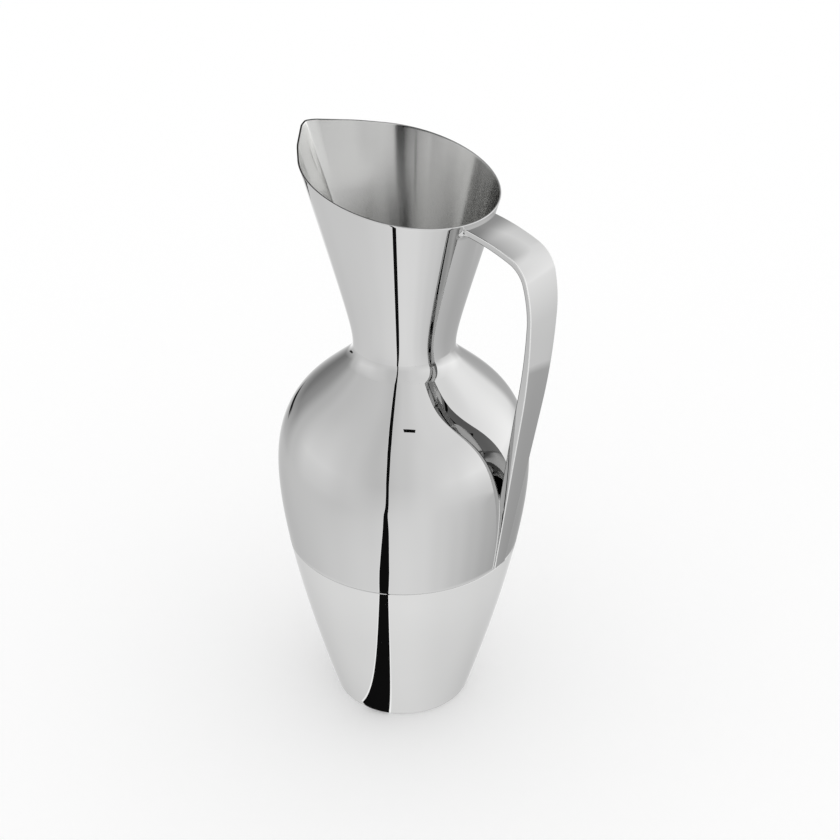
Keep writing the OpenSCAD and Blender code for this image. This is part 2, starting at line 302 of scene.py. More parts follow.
def lathe_tree():
    tree, given = new_tree("lathe", [("Steps Round", "Int"), ("Material", "Material")])
    rows = wire_from(tree, "GeometryNodeAttributeDomainSize", {"Geometry": given["Geometry"]},
                     "Point Count")
    grid, column, row = grid_places(tree, given["Steps Round"] + 1, rows)
    position = wire_from(tree, "GeometryNodeInputPosition")
    # the kind of data is set before the sockets are plugged, because it decides their kind too
    looked_up = wire_from(tree, "GeometryNodeSampleIndex",
                          {"Geometry": given["Geometry"], "Value": position, "Index": row},
                          data_type="FLOAT_VECTOR", clamp=True)
    reach, _, height = axes(looked_up)
    angle = column / given["Steps Round"] * (2 * pi)
    finish_tree(tree, grid, reach, angle, height, given["Material"])
    return tree


LATHE = lathe_tree()
print("lathe tree:", len(LATHE.nodes), "nodes")

# %% [markdown]
# A tree is run by a modifier. Its inputs are set by the sockets' identifiers, then the evaluated
# result is kept as a plain mesh, so that nothing live is left on the piece. Corners sharper than a
# fixed angle are marked, because a rim or a lip has to break the reflection cleanly.

# %% Run a tree and keep its mesh
SHARP = radians(38)
STEPS_ROUND = 360


def new_object(name, mesh):
    thing = bpy.data.objects.new(name, mesh)
    bpy.context.collection.objects.link(thing)
    return thing


def run_tree(thing, tree, values):
    """Gives the object a Geometry Nodes modifier with its named inputs set."""
    modifier = thing.modifiers.new(tree.name, "NODES")
    modifier.node_group = tree
    names = {item.name: item.identifier for item in tree.interface.items_tree
             if item.in_out == "INPUT"}
    for title, value in values.items():
        modifier[names[title]] = value


def keep_mesh(thing):
    """Swaps the live modifiers for the plain mesh that they make."""
    graph = bpy.context.evaluated_depsgraph_get()
    mesh = bpy.data.meshes.new_from_object(thing.evaluated_get(graph), depsgraph=graph)
    thing.modifiers.clear()
    thing.data = mesh
    mesh.name = thing.name
    mesh.polygons.foreach_set("use_smooth", [True] * len(mesh.polygons))
    mesh.set_sharp_from_angle(angle=SHARP)
    print(thing.name, len(mesh.polygons), "faces")
    return thing


def turned_piece(name, outline, material, closed=False):
    """A shell turned from an outline in millimetres; closed outlines come back to their start."""
    points = list(outline) + ([outline[0]] if closed else [])
    mesh = bpy.data.meshes.new(name)
    mesh.from_pydata([(p.x * MM, 0, p.y * MM) for p in points],
                     [(i, i + 1) for i in range(len(points) - 1)], [])
    thing = new_object(name, mesh)
    run_tree(thing, LATHE, {"Steps Round": STEPS_ROUND, "Material": material})
    return keep_mesh(thing)


def settle(piece, node):
    """Ties a finished piece to the body and hides the CAD node that it stands for."""
    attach(piece, "root")
    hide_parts(node)


# %% [markdown]
# ## Finishes
# All the steel is the same metal, and its finish changes from place to place. The upper body, neck
# and handle are buffed to a mirror, the cup is a touch hazier and paler, and the inside of the
# mouth keeps the fine rings of the lathe. Cut edges are ground, so the rim and the strap's edges
# scatter more. A real finish is never quite even, so faint buffing marks run round the axis in the
# roughness and soft clouds in the colour. One function makes all the finishes, so that they stay
# one metal.

# %% Steel
CLOUD_SCALE = 18.0  # the clouds are about 5 cm across
CLOUD_DEPTH = 0.015  # how much they change the colour either way
TURN_SHARE = 0.004  # how little the marks change round the axis, so that they are long
MARK_DEPTH = 0.02 * MM


def steel(name, colour, rough, marks, brushing=0.0, lines=900.0, edge=0.75, shade_by=None):
    """Polished steel: marks is how strongly the buffing lines show in the roughness, brushing how
    deep they are cut, lines how fine they are, edge how bright the steel is where it is seen
    almost along its surface, and shade_by a rule that makes it paler or darker by place."""
    material = bpy.data.materials.new(name)
    material.use_nodes = True
    tree = material.node_tree
    shader = tree.nodes["Principled BSDF"]
    shader.inputs["Metallic"].default_value = 1.0
    shader.inputs["Specular Tint"].default_value = (edge, edge, edge, 1)
    place = wire_from(tree, "ShaderNodeTexCoord", output="Object")
    x, y, z = axes(place)
    round_axis = wire_from(tree, "ShaderNodeCombineXYZ", {
        "X": y.sum("ARCTAN2", x) * TURN_SHARE, "Y": long_side(x, y), "Z": z})
    fine_lines = wire_from(tree, "ShaderNodeTexNoise",
                           {"Vector": round_axis, "Scale": lines, "Detail": 3.0})
    clouds = wire_from(tree, "ShaderNodeTexNoise",
                       {"Vector": place, "Scale": CLOUD_SCALE, "Detail": 2.0})
    roughness = (fine_lines - 0.5) * marks + (clouds - 0.5) * (marks * 0.6) + rough
    plug(tree, roughness.sum("MAXIMUM", 0.0), shader.inputs["Roughness"])
    ramp = step_node(tree, "ShaderNodeValToRGB", {"Fac": clouds})
    for stop, spot, side in zip(ramp.color_ramp.elements, (0.3, 0.7), (-1, 1)):
        stop.position = spot
        stop.color = (*[c * (1 + side * CLOUD_DEPTH) for c in colour], 1)
    tone = wire_from(tree, "ShaderNodeVectorMath",
                     {"Vector": Wire(tree, ramp.outputs[0]),
                      "Scale": shade_by(x, y, z) if shade_by else 1.0}, operation="SCALE")
    plug(tree, tone, shader.inputs["Base Color"])
    if brushing:
        bump = wire_from(tree, "ShaderNodeBump",
                         {"Height": fine_lines, "Strength": brushing, "Distance": MARK_DEPTH})
        plug(tree, bump, shader.inputs["Normal"])
        # rings round the axis spread the light up and down, so the long axis is turned upright
        shader.inputs["Anisotropic"].default_value = 1.0
        shader.inputs["Anisotropic Rotation"].default_value = 0.25
        tangent = wire_from(tree, "ShaderNodeTangent", direction_type="RADIAL", axis="Z")
        plug(tree, tangent, shader.inputs["Tangent"])
    print(name, "colour", colour, "roughness", rough)
    return material


# %% [markdown]
# Two of the finishes change from place to place by a rule. Each rule gets the place in metres and
# gives the share of the steel's colour that is left there. The satin's rule paints shade deep down
# in the neck and light beside the spout's fold.

# %% The finishes of this pitcher
DARK_RIM_WAY = radians(50)  # the way, from the spout, that the darkest part of the rim faces
# the painted shade in the neck is full below the first height and gone above the second
PAINTED_SHADE_FULL_BELOW, PAINTED_SHADE_GONE_ABOVE = 226 * MM, 246 * MM  # heights inside the neck
# the painted light beside the spout's fold grows between these distances
PAINTED_LIGHT_FROM, PAINTED_LIGHT_FULL_AT = 30 * MM, 42 * MM  # distances from the axis towards the spout


def satin_painted_light_and_shade(x, y, z):
    """Painted shade deep down in the neck, and painted light on one side beside the spout's fold.
    """
    deep = rise(z, PAINTED_SHADE_FULL_BELOW, PAINTED_SHADE_GONE_ABOVE) * 0.7 + 0.3
    painted_fold_light = rise(x, PAINTED_LIGHT_FROM, PAINTED_LIGHT_FULL_AT) * rise(y, 0.0, 1.0 * MM) * 0.45 + 1
    return deep * painted_fold_light


def rim_darker_side(x, y, z):
    """Darkens the rim's colour to a tenth on the spout's side, and not at all towards the handle.
    """
    side = (x * cos(DARK_RIM_WAY) + y * sin(DARK_RIM_WAY)) / long_side(x, y)
    return rise(side, 0.62, 0.4) * 0.9 + 0.1


MIRROR = steel("mirror steel", (0.65, 0.65, 0.648), 0.002, 0.002)
NECK = steel("neck mirror steel", (0.685, 0.685, 0.683), 0.002, 0.002)
CUP = steel("hazy mirror steel", (0.72, 0.72, 0.716), 0.02, 0.015)
STRAP = steel("strap steel", (0.6, 0.6, 0.598), 0.006, 0.006)
# the strap's ground edges: painted shade on the two inner ones, a painted highlight on the two
# outer ones; their roughness is the ground edge's own
STRAP_EDGE_PAINTED_SHADE = steel("strap edge, painted shade", (0.13, 0.13, 0.128), 0.12, 0.05)
STRAP_EDGE_PAINTED_HIGHLIGHT = steel("strap edge, painted highlight", (0.85, 0.85, 0.846), 0.15, 0.05)
# satin steel whose colour carries painted shade deep in the neck and painted light beside the fold
SATIN_PAINTED_LIGHT_AND_SHADE = steel("satin steel, painted light and shade", (0.6, 0.6, 0.592), 0.2, 0.05, brushing=0.45, lines=1600.0, edge=1.0,
              shade_by=satin_painted_light_and_shade)
RIM = steel("ground rim", (0.62, 0.62, 0.618), 0.12, 0.05, shade_by=rim_darker_side)
WELD = steel("polished weld", (0.66, 0.66, 0.658), 0.08, 0.04)
INNER = steel("plain inner steel", (0.5, 0.5, 0.498), 0.25, 0.1)

# %% [markdown]
# ## Lower cup
# The cup is pressed from one sheet. It stands on a narrow flat ring round a shallow recess, rolls
# into the wall over a small corner, and ends at the seam in a softly rounded lip. It could be
# carved from a cylinder with bevels, but a turned outline gives every corner its real radius. The
# outline goes out along the underside, up the wall, over the lip and back down the inside to the
# axis.

# %% Turn the lower cup
RECESS_R = FOOT_R - FOOT_W
SLOPE_IN = RECESS_R - RECESS_H  # where the recess reaches its full height
MIDDLE_R = RECESS_R - 3 * RECESS_H  # inside this the base is flat
INSIDE_LOW = 6  # below this the inner face rounds off into the floor


def cup_outline():
    under = [flat(0, RECESS_H), flat(MIDDLE_R, RECESS_H)]
    under += [flat(SLOPE_IN - 0.6, RECESS_H), flat(SLOPE_IN, RECESS_H - 0.15)]
    under += [flat(RECESS_R - 0.2, 0.12), flat(RECESS_R + 0.3, 0), flat(FOOT_R - 1, 0)]
    corner = arc(flat(FOOT_R, CORNER_R), CORNER_R, -pi / 2, -BASE_LEAN, 12)[:-1]
    wall = wall_run(CORNER_END.y, SEAM_H - LIP, 90)
    lip = arc(flat(wall_r(SEAM_H) - LIP, SEAM_H - LIP), LIP, 0.1, pi / 2, 5)
    inside = wall_run(INSIDE_LOW, SEAM_H, 40, WALL_T)[::-1]
    floor = [flat(BASE_R - 2.4, 3.2), flat(BASE_R - 4.4, WALL_T + 0.5), flat(FOOT_R - 4, WALL_T)]
    floor += [flat(RECESS_R + 0.4, WALL_T), flat(SLOPE_IN + 0.4, RECESS_H + WALL_T)]
    floor += [flat(MIDDLE_R, RECESS_H + WALL_T), flat(0, RECESS_H + WALL_T)]
    return under + corner + wall + lip + inside + floor


settle(turned_piece("lower_cup_shell", cup_outline(), CUP), "lower_cup")

# %% [markdown]
# ## Upper body
# This shell is spun: from the lip of the seam over the belly and the shoulder to the hole that the
# neck sits in. Its outline is a closed loop, so the sheet has a real thickness and the inside can
# be seen from above through the neck. Solidify would give a thickness too, but not the rounded lip
# at the seam, which draws the fine line round the body.

# %% Turn the upper body
HOLE_R = NECK_R - 0.1  # a little inside the neck's own outer face, so that no gap shows


def body_outline():
    lip = arc(flat(wall_r(SEAM_H) - LIP, SEAM_H + LIP), LIP, -pi / 2, -0.1, 5)
    wall = wall_run(SEAM_H + LIP, FILLET_START.y, 130)
    hole = [flat(HOLE_R, SHOULDER_TOP + 0.1), flat(HOLE_R, SHOULDER_TOP - 1.2)]
    inside = wall_run(SEAM_H, FILLET_START.y - 0.9, 60, WALL_T)[::-1]
    return lip + wall + hole + inside


settle(turned_piece("upper_body_shell", body_outline(), MIRROR, closed=True),
       "upper_body")

# %% [markdown]
# ## Neck bead
# Where the neck meets the shoulder the weld is ground to an even hollow curve. A Bevel can't make
# it, because the two shells stay pieces of their own, so it is turned as a ring with one concave
# face, tangent to both. The reflection then flows from the shoulder into the neck.

# %% Turn the neck bead
BURIED = 0.3  # how deep the bead's hidden corner lies in the neck and the shoulder


def bead_outline():
    centre = flat(NECK_R + NECK_FILLET_R, NECK_H)
    hollow = arc(centre, NECK_FILLET_R, pi + SHOULDER, pi, 26)
    return hollow + [flat(NECK_R - BURIED, NECK_H), flat(NECK_R - BURIED, SHOULDER_TOP - BURIED)]


settle(turned_piece("neck_bead_ring", bead_outline(), MIRROR, closed=True),
       "neck_bead")

# %% [markdown]
# ## Neck funnel
# The neck is a round tube that flares to a slanted mouth. Opposite the handle its sheet is pinched
# into a spout: at each height the wall leaves the round flare at a tangent and runs straight to a
# fold. It could be sculpted from a cone, but a sheet that is folded and not stretched keeps to
# this rule, and its reflections show at once where a mesh doesn't. First come its sizes.

# %% Sizes of the funnel
FLARE_SLOPE, EASE = tan(radians(15.6)), 9.6
MOUTH_SLOPE, TOTAL_H, SPOUT_REACH, FOLD_START = tan(radians(12.35)), 301.0, 58.4, 230.8
MOUTH_H = TOTAL_H - SPOUT_REACH * MOUTH_SLOPE
NECK_T, NECK_TUCK = 0.8, 1.5
TUBE_BASE = SHOULDER_TOP - WALL_T / sin(SHOULDER) - NECK_TUCK
BULGE, BULGE_START = 1.15, 268


def flare(height):
    """The outer radius of the round neck at a height."""
    up = max(height - NECK_H, 0)
    return NECK_R + FLARE_SLOPE * (sqrt(up**2 + EASE**2) - EASE)


FOLD_SLOPE = (SPOUT_REACH - flare(FOLD_START)) / (TOTAL_H - FOLD_START)
FUNNEL_INPUTS = {
    "Columns": 480, "Rows": 84, "Neck Radius": NECK_R * MM, "Neck Height": NECK_H * MM,
    "Ease Height": EASE * MM, "Flare Slope": FLARE_SLOPE, "Fold Start": FOLD_START * MM,
    "Fold Start Radius": flare(FOLD_START) * MM, "Fold Slope": FOLD_SLOPE,
    "Fold Softness": 0.026, "Bulge": BULGE * MM, "Bulge Start": BULGE_START * MM,
    "Mouth Height": MOUTH_H * MM, "Mouth Slope": MOUTH_SLOPE, "Tube Base": TUBE_BASE * MM}
print("mouth over the axis, mm:", round(MOUTH_H, 2), "fold slope", round(FOLD_SLOPE, 4))

# %% [markdown]
# The wall follows a rule, so Geometry Nodes draw it. Each grid point gets an angle and a height,
# the mouth's sloping plane says how high each column may go, and the fold is softened by taking
# the angle from the spout as the long side of a small triangle. Near the mouth the two sheets
# beside the fold belly out by about a millimetre, which bends their reflections as the photograph
# shows. The columns stand closer together at the fold, where the wall turns quickly.

# %% The funnel tree
NEAR_FOLD = 0.35  # share of an even spacing that the columns keep at the fold


def funnel_tree():
    kinds = [(name, "Int" if isinstance(value, int) else "Float")
             for name, value in FUNNEL_INPUTS.items()]
    tree, given = new_tree("funnel", kinds + [("Material", "Material")])
    grid, column, row = grid_places(tree, given["Columns"] + 1, given["Rows"] + 1)
    side = column / given["Columns"] * 2 - 1
    angle = (side * NEAR_FOLD + side * side * side * (1 - NEAR_FOLD)) * pi

    def wall_radius(height):
        """The wall's radius at each point's angle, for a height."""
        up = (height - given["Neck Height"]).sum("MAXIMUM", 0.0)
        ease = given["Ease Height"]
        round_r = given["Neck Radius"] + given["Flare Slope"] * (long_side(up, ease) - ease)
        fold_r = given["Fold Start Radius"] + given["Fold Slope"] * (height - given["Fold Start"])
        fold_r = fold_r.sum("MAXIMUM", round_r)
        fold_angle = (round_r / fold_r).sum("MINIMUM", 1.0).sum("ARCCOSINE")
        softness = given["Fold Softness"]
        away = long_side(angle, softness)
        turned = (fold_angle + softness - away).sum("MAXIMUM", 0.0)
        share = away / fold_angle.sum("MAXIMUM", 0.01)
        # the sheet bellies out between the fold and the place where it meets the round flare
        bulge = given["Bulge"] * eased(rise(share, 0.0, 0.2)) * (
            eased(rise(share, 0.7, 1.25)) * -1 + 1)
        high = eased(rise(height, given["Bulge Start"], given["Mouth Height"]))
        return round_r / turned.sum("COSINE") + bulge * high

    top = given["Mouth Height"]
    # the mouth's height depends on the wall's radius there, and that on the height
    for _ in range(6):
        top = given["Mouth Height"] + given["Mouth Slope"] * wall_radius(top) * angle.sum("COSINE")
    height = given["Tube Base"] + (top - given["Tube Base"]) * row / given["Rows"]
    finish_tree(tree, grid, wall_radius(height), angle, height, given["Material"])
    return tree


FUNNEL = funnel_tree()
print("funnel tree:", len(FUNNEL.nodes), "nodes")

# %% [markdown]
# The tree makes the outer skin. Solidify then gives the sheet its thickness inwards and puts the
# satin finish on the new inner skin and the ground one on the rim. The flare leans out, so the
# inner edge of the rim comes out a little too high: it is slid down its own wall to the mouth's
# plane, as if the rim had been ground flat. A small Bevel then eases the two edges of the rim.

# %% Make the funnel
RIM_EASE, RIM_CORNER = 0.26, radians(50)


def above_mouth(place):
    """How far a place lies above the mouth's plane, measured straight up."""
    return place.z - MOUTH_H * MM - MOUTH_SLOPE * place.x


def grind_rim(mesh):
    """Slides each point above the mouth's plane down the wall until it lies in the plane."""
    work = bmesh.new()
    work.from_mesh(mesh)
    high = [v for v in work.verts if above_mouth(v.co) > 0.005 * MM]
    for vert in high:
        below = min((edge.other_vert(vert) for edge in vert.link_edges),
                    key=lambda v: v.co.z)
        top, foot = above_mouth(vert.co), above_mouth(below.co)
        vert.co = vert.co.lerp(below.co, top / (top - foot))
    work.to_mesh(mesh)
    work.free()
    print("rim points ground to the mouth's plane:", len(high))


def make_funnel():
    skin = new_object("neck_funnel_sheet", bpy.data.meshes.new("neck_funnel_sheet"))
    run_tree(skin, FUNNEL, {**FUNNEL_INPUTS, "Material": NECK})
    keep_mesh(skin)
    skin.data.materials.clear()
    for finish in (NECK, SATIN_PAINTED_LIGHT_AND_SHADE, RIM):
        skin.data.materials.append(finish)
    wall = skin.modifiers.new("sheet", "SOLIDIFY")
    wall.thickness, wall.offset, wall.use_even_offset = NECK_T * MM, -1, True
    wall.material_offset, wall.material_offset_rim = 1, 2
    keep_mesh(skin)
    grind_rim(skin.data)
    ease = skin.modifiers.new("eased rim", "BEVEL")
    ease.width, ease.segments, ease.limit_method = RIM_EASE * MM, 3, "ANGLE"
    ease.angle_limit = RIM_CORNER
    return keep_mesh(skin)


settle(make_funnel(), "neck_funnel")

# %% [markdown]
# ## Handle strap
# The handle is one flat bar, wide at the mouth and narrow at its tail. From the side its outer
# face is a gently arched top run, a tight bend, an easing arc, a long lean and a straight run
# that lands on the wall. A curve with a bevel profile would follow that line too, but its section
# can't change width and thickness apart. So the mesh is a loft: the same rounded section is set up
# at each station of the line, with the width and thickness of the place.

# %% The line of the strap
HANDLE_REACH = BELLY_R + 15
STRAP_W, STRAP_TIP_W = 23.0, 8.8
STRAP_TOP_T, STRAP_BEND_T, STRAP_LOW_T = 3.0, 2.3, 4.3
FALL, DIP, STEEP = radians(9.7), radians(22.5), radians(74)
BEND_R, EASE_R = 16.6, 70
TIP_H, TIP_RISE = SEAM_H + 2, 1.15
UNDER_RIM = 1.7  # how far below the mouth's plane the strap's outer face starts
TURN_H = 24.2  # from the grip's start down to where its upright and its lean would cross


def turn(point, radius, start, end):
    """Where an arc that starts at a point ends, from its two angles of fall."""
    return point + radius * flat(sin(end) - sin(start), cos(end) - cos(start))


def mouth_back():
    """The place under the rim, straight behind, where the strap's outer face starts."""
    reach = NECK_R
    for _ in range(12):
        reach = flare(MOUTH_H - MOUTH_SLOPE * reach)
    return flat(reach, MOUTH_H - MOUTH_SLOPE * reach - UNDER_RIM)


STRAP_START = mouth_back()
BEND_OUT = BEND_R * (sin(STEEP) - sin(DIP)) + EASE_R * (1 - sin(STEEP))
TOP_R = (HANDLE_REACH - BEND_OUT - STRAP_START.x) / (sin(DIP) - sin(FALL))
BEND_START = turn(STRAP_START, TOP_R, FALL, DIP)
BEND_END = turn(BEND_START, BEND_R, DIP, STEEP)
GRIP_START = turn(BEND_END, EASE_R, STEEP, pi / 2)
TAIL_END = flat(wall_r(TIP_H) + TIP_RISE, TIP_H)
LEAN = atan2(HANDLE_REACH - TAIL_END.x, GRIP_START.y - TURN_H - TIP_H)
GRIP_R = TURN_H / tan(LEAN / 2)
LEAN_END = turn(GRIP_START, GRIP_R, pi / 2, pi / 2 + LEAN)


print("strap: lean", round(degrees(LEAN), 2), "grip radius", round(GRIP_R, 1),
      "bend ends at", [round(v, 2) for v in BEND_END])

# %% [markdown]
# A station is one place down that line, with all that a section needs to know there. The bar
# thins towards the bend, where it was hammered round, and thickens again along the grip. The
# stations stand closer together in the bends, so that the reflections bend smoothly there.

# %% Stations down the strap
STRAIGHT_STEPS = 60


def strap_stations():
    """Stations down the strap: a point of the outer face, its angle, the thickness there, and
    how much of the neck's hollow the section takes up."""
    stations = []
    for point, radius, a, b, steps, t0, t1 in (
            (STRAP_START, TOP_R, FALL, DIP, 20, STRAP_TOP_T, STRAP_TOP_T),
            (BEND_START, BEND_R, DIP, STEEP, 28, STRAP_TOP_T, STRAP_BEND_T),
            (BEND_END, EASE_R, STEEP, pi / 2, 20, STRAP_BEND_T, STRAP_BEND_T),
            (GRIP_START, GRIP_R, pi / 2, pi / 2 + LEAN, 28, STRAP_BEND_T, STRAP_LOW_T)):
        for i in range(steps):
            w = a + (b - a) * i / steps
            coped = 1 - i / steps if radius == TOP_R else 0
            stations.append((turn(point, radius, a, w), w, t0 + (t1 - t0) * i / steps, coped))
    for i in range(STRAIGHT_STEPS + 1):
        point = LEAN_END.lerp(TAIL_END, i / STRAIGHT_STEPS)
        stations.append((point, pi / 2 + LEAN, STRAP_LOW_T, 0))
    return stations


def strap_half(height):
    """Half the strap's width: even down to the end of the bend, then narrowing to the tip."""
    share = min(max((height - TIP_H) / (BEND_END.y - TIP_H), 0), 1)
    return STRAP_TIP_W / 2 + (STRAP_W - STRAP_TIP_W) / 2 * share


print("strap:", len(strap_stations()), "stations; half width at the seam end",
      round(strap_half(TIP_H), 2))

# %% [markdown]
# The section is a flat bar whose four long edges are eased. The two outer edges carry a painted
# highlight and the two inner ones, which face the pitcher, a painted shade, and these thin lines
# are what makes the strap look thick.

# %% The strap's section
EDGE_R, CORNER_STEPS = 0.45, 5
# (column of the section, number of its finish): 1 has painted shade and 2 a painted highlight
STRAP_EDGES = [(column, finish)
               for start, finish in ((0, 2), (6, 1), (12, 1), (18, 2))
               for column in range(start, start + CORNER_STEPS)]


def section(half, thick):
    """The strap's section as (across, depth) pairs, with eased edges, outer face first."""
    loop = []
    for cx, cd, start in ((half - EDGE_R, EDGE_R, -pi / 2), (half - EDGE_R, thick - EDGE_R, 0),
                          (EDGE_R - half, thick - EDGE_R, pi / 2), (EDGE_R - half, EDGE_R, pi)):
        for i in range(CORNER_STEPS + 1):
            w = start + pi / 2 * i / CORNER_STEPS
            loop.append((cx + EDGE_R * cos(w), cd + EDGE_R * sin(w)))
    return loop


print("section:", len(section(STRAP_W / 2, STRAP_TOP_T)), "points")

# %% [markdown]
# A loft joins one row of points to the next with faces and caps both ends. Points that coincide
# are merged and the faces are turned outwards, so that the piece is one closed skin.

# %% A loft
def strips(rows, count, closed=True):
    """The faces between rows of points, also from each row's last point to its first if closed."""
    return [(r * count + c, r * count + (c + 1) % count,
             (r + 1) * count + (c + 1) % count, (r + 1) * count + c)
            for r in range(rows - 1) for c in range(count if closed else count - 1)]


def loft(name, rows, material, column_finish=()):
    """Joins rows of points into a skin with its two ends capped. column_finish gives the columns
    that have another finish than the first."""
    count = len(rows[0])
    mesh = bpy.data.meshes.new(name)
    faces = strips(len(rows), count)
    faces += [tuple(range(count))[::-1], tuple(range((len(rows) - 1) * count, len(rows) * count))]
    mesh.from_pydata([p for row in rows for p in row], [], faces)
    mesh.materials.append(material)
    for column, finish in column_finish:
        for face in list(mesh.polygons)[column:-2:count]:
            face.material_index = finish
    tidy = bmesh.new()
    tidy.from_mesh(mesh)
    bmesh.ops.remove_doubles(tidy, verts=tidy.verts, dist=0.001 * MM)
    bmesh.ops.recalc_face_normals(tidy, faces=tidy.faces)
    tidy.to_mesh(mesh)
    tidy.free()
    mesh.polygons.foreach_set("use_smooth", [True] * len(mesh.polygons))
    mesh.set_sharp_from_angle(angle=SHARP)
    print(name, len(mesh.polygons), "faces")
    return new_object(name, mesh)


# %% [markdown]
# The strap's first section isn't flat: it is coped to the round neck, as a fitter would file it.
# Its last section is cut level just above the seam, and where the bar's back would pass through
# the body it is held just under the wall's outer face.

# %% Loft the strap
ALONG, INTO = flat(cos(FALL), -sin(FALL)), flat(-sin(FALL), -cos(FALL))  # of the strap's top end
HOLD_BELOW = 190  # only below this height does the bar's back come near the wall
HELD_IN = 0.5  # how far under the wall's outer face the back is held


def neck_start(across, depth, sink=0.3):
    """How far along the top run a line at this place leaves the neck's outer wall. The search
    starts well inside the neck and ends well outside it."""
    low, high = -14.0, 8.0
    for _ in range(30):
        middle = (low + high) / 2
        p = STRAP_START + middle * ALONG + depth * INTO
        inside = hypot(p.x, across) < flare(p.y) - sink
        low, high = (middle, high) if inside else (low, middle)
    return low


def handle_place(point, across):
    """A place in the side view and across it, as metres in the pitcher's axes."""
    return Vector((-point.x * MM, across * MM, point.y * MM))


def strap_row(station, last):
    """One section of the strap, coped at the top, held to the wall low down and cut level last."""
    point, angle, thick, coped = station
    row = []
    for across, depth in section(strap_half(point.y), thick):
        p = point - depth * flat(sin(angle), cos(angle))
        if coped:
            p = p + neck_start(across, depth) * coped * flat(cos(angle), -sin(angle))
        elif p.y < HOLD_BELOW:
            if last:
                p = p + (TIP_H - p.y) / cos(LEAN) * flat(sin(-LEAN), cos(LEAN))
            hold = sqrt(max(wall_r(max(p.y, TIP_H)) - HELD_IN, 1)**2 - across**2)
            p = flat(max(p.x, hold), p.y)
        row.append(handle_place(p, across))
    return row


def make_strap():
    stations = strap_stations()
    rows = [strap_row(station, station is stations[-1]) for station in stations]
    bar = loft("handle_strap_bar", rows, STRAP, STRAP_EDGES)
    for finish in (STRAP_EDGE_PAINTED_SHADE, STRAP_EDGE_PAINTED_HIGHLIGHT):
        bar.data.materials.append(finish)
    return bar


settle(make_strap(), "handle_strap")

# %% [markdown]
# ## Weld beads
# The strap is welded at both ends and the welds are polished down to small hollow fillets. Joining
# the meshes and bevelling the joint would make them too, but the pieces have to stay apart, and a
# bead of its own can fade out at its ends as a real one does. Both beads are made the same way: a
# path runs round the joint, and at each station a curve leaves the strap at a tangent and lands on
# the wall at a tangent.

# %% A hollow bead along a joint
BEAD_STEPS = 8
BEAD_BACK = 0.2  # how deep the bead's hidden back lies in the strap and the wall


def hollow_bead(name, stations, place, material):
    """stations: (spot on the joint, way out from the strap, leg). place turns a spot, its way out,
    a distance that way and a distance off the wall into a point."""
    rows = []
    for spot, out, leg in stations:
        curve = [(leg * t * t, leg * (1 - t)**2)
                 for t in (i / BEAD_STEPS for i in range(BEAD_STEPS + 1))]
        back = [(leg * 0.6, -BEAD_BACK), (-BEAD_BACK, -BEAD_BACK), (-BEAD_BACK, leg * 0.6)]
        rows.append([place(spot, out, away, off) for away, off in curve + back])
    return loft(name, rows, material)


def joint_path(side, half, end, corner, down, corner_steps, end_steps):
    """A U-shaped path round the strap's section or tip: down one side's stations, round a corner
    to the middle of the end, and the same mirrored. down is 1 where the second number of a spot
    grows towards the end, and -1 where it falls."""
    angles = [pi / 2 * i / corner_steps for i in range(corner_steps + 1)]
    around = [((half - corner + corner * cos(w), end - down * corner * (1 - sin(w))),
               (cos(w), sin(w))) for w in angles]
    bottom = [(((half - corner) * (1 - i / end_steps), end), (0.0, 1.0))
              for i in range(1, end_steps + 1)]
    path = side + around + bottom
    mirrored = [((-spot[0], spot[1]), (-out[0], out[1])) for spot, out in path[:-1]]
    return path + mirrored[::-1]


def feathered(path, leg, run):
    """Gives each station its leg, growing from nothing over the first and last run stations."""
    last = len(path) - 1
    return [(spot, out, leg * min(1, (min(i, last - i) + 0.25) / run)**0.7)
            for i, (spot, out) in enumerate(path)]


# %% [markdown]
# At the top the path goes down one side of the strap, under it and up the other, on the neck's
# wall. The neck tapers away behind the strap, so the joint's place comes from the same search that
# coped the strap's end.

# %% The top bead
TOP_LEG, TOP_RUN, TOP_START = 3.2, 6, 0.9  # size, stations to grow over, depth where it starts


def top_place(spot, out, away, off):
    across, depth = spot[0] + out[0] * away, spot[1] + out[1] * away
    reach = neck_start(across, depth, 0.0) + off
    return handle_place(STRAP_START + reach * ALONG + depth * INTO, across)


def top_path():
    low = STRAP_TOP_T - EDGE_R
    side = [((STRAP_W / 2, TOP_START + (low - TOP_START) * i / 6), (1.0, 0.0)) for i in range(6)]
    return joint_path(side, STRAP_W / 2, STRAP_TOP_T, EDGE_R, down=1, corner_steps=6, end_steps=10)


settle(hollow_bead("handle_top_weld", feathered(top_path(), TOP_LEG, TOP_RUN), top_place, WELD),
       "handle_top_bead")

# %% [markdown]
# At the tail the bead is much finer. It runs down both sides from where the strap's back leaves
# the wall, and round the tip.

# %% The tail bead
TAIL_LEG, TAIL_RUN, TAIL_TOP = 0.7, 12, 145.0  # size, stations to grow over, height of its start
TIP_CORNER = 0.4


def tail_place(spot, out, away, off):
    across, height = spot[0] + out[0] * away, spot[1] - out[1] * away
    return handle_place(flat(sqrt(wall_r(height)**2 - across**2) + off, height), across)


def tail_path():
    low = TIP_H + TIP_CORNER
    side = [((strap_half(h), h), (1.0, 0.0))
            for h in (TAIL_TOP + (low - TAIL_TOP) * i / 50 for i in range(50))]
    return joint_path(side, STRAP_TIP_W / 2, TIP_H, TIP_CORNER, down=-1, corner_steps=5,
                      end_steps=5)


settle(hollow_bead("handle_tail_weld", feathered(tail_path(), TAIL_LEG, TAIL_RUN), tail_place,
                   WELD), "handle_tail_bead")

# %% [markdown]
# ## Seam sleeve
# The ring that backs the seam can't be seen from outside. The CAD solid has the right shape, so it
# stays and only gets a rolled-steel finish. Nothing is gained by making again what fits already.

